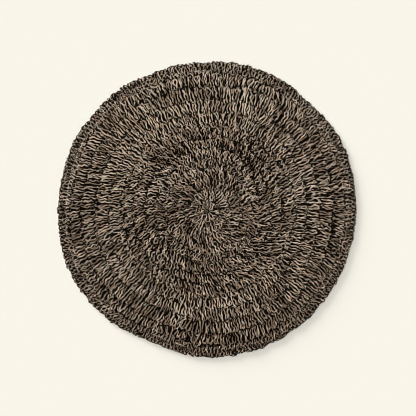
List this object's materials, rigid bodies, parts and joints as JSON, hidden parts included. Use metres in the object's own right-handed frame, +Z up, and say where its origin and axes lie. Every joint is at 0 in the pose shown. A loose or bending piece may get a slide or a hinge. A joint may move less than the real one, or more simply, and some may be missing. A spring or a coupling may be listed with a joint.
{
  "type": "round crocheted raffia rug",
  "caption": "Flat round rug crocheted in rounds from natural and black raffia cord, with leaning inner stitches, tall outer stitches and a short-stitched edging.",
  "frame": {"origin": "on the floor, under the middle of the rug's outline box", "axes": "+Z up through the cloth, +Y towards the top of the picture and +X to its right"},
  "size_m": [1.0054, 0.9964, 0.0127],
  "materials": {
    "marled_raffia": "natural and black raffia cord worked together, matt with a faint dry sheen",
    "edging_raffia": "natural and black raffia cord worked together in short tight stitches, matt"
  },
  "bodies": {
    "root": {"crocheted_body": "marled_raffia", "crocheted_edging": "edging_raffia"}
  },
  "joints": []
}
